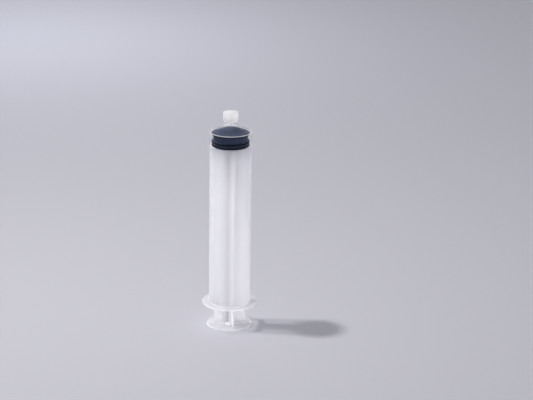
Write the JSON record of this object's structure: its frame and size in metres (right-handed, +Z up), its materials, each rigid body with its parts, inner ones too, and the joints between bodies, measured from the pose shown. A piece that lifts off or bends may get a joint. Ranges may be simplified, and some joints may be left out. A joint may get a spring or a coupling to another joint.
{
  "type": "disposable syringe",
  "caption": "Large clear plastic syringe with a cross-webbed plunger, dark rubber stopper, round finger flange and thumb rest, and a fluted push-on cap over its centre nozzle.",
  "frame": {"origin": "centre of the thumb rest's underside, which the syringe stands on", "axes": "+Z up the axis to the nozzle and its cap; the plunger rod's webs lie along X and Y"},
  "size_m": [0.0398, 0.0398, 0.1613],
  "materials": {
    "plunger_rod": "natural milky moulded plastic, slightly see-through",
    "stopper": "blue-black moulded rubber with a silicone sheen",
    "barrel": "clear to milky moulded plastic with a smooth gloss",
    "tip_cap": "natural white translucent moulded plastic"
  },
  "bodies": {
    "plunger_rod": {"plunger_rod": "plunger_rod"},
    "stopper": {"stopper": "stopper"},
    "barrel": {"barrel": "barrel"},
    "cap": {"tip_cap": "tip_cap"}
  },
  "joints": [
    {"name": "rod_turn", "type": "hinge", "parent": "plunger_rod", "child": "stopper", "pos_m": [0, 0, 0.14], "axis": [0, 0, 1], "continuous": true},
    {"name": "plunger_draw", "type": "slide", "parent": "stopper", "child": "barrel", "axis": [0, 0, 1], "range_m": [0, 0.105]},
    {"name": "cap_pull", "type": "slide", "parent": "barrel", "child": "cap", "axis": [0, 0, 1], "range_m": [0, 0.01]}
  ]
}
